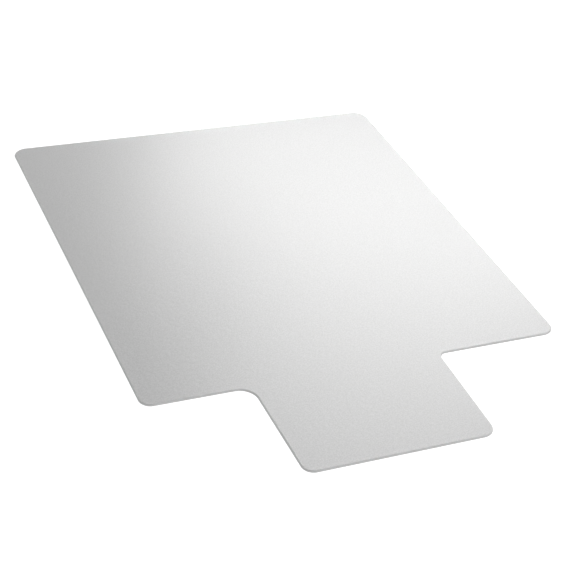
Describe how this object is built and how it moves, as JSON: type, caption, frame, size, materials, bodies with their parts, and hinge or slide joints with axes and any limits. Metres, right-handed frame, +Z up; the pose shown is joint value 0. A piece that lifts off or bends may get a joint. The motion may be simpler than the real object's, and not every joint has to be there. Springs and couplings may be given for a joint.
{
  "type": "chair mat",
  "caption": "Flat floor mat for a caster chair, with rounded corners, a bevelled edge and a narrower lip that reaches under a desk.",
  "frame": {"origin": "in the middle of the mat's bounding box in plan, on the underside that rests on the floor", "axes": "+Z up out of the pebbled top, +Y along the mat's length away from the lip, +X across its width"},
  "size_m": [0.9, 1.2, 0.003],
  "materials": {
    "wear_film": "frosted light grey with a fine pebbled emboss, satin",
    "core_sheet": "smooth light grey, satin on its cut edge",
    "antislip_backing": "soft light grey with a fine grain, matte"
  },
  "bodies": {
    "root": {"wear_film": "wear_film", "core_sheet": "core_sheet", "antislip_backing": "antislip_backing"}
  },
  "joints": []
}
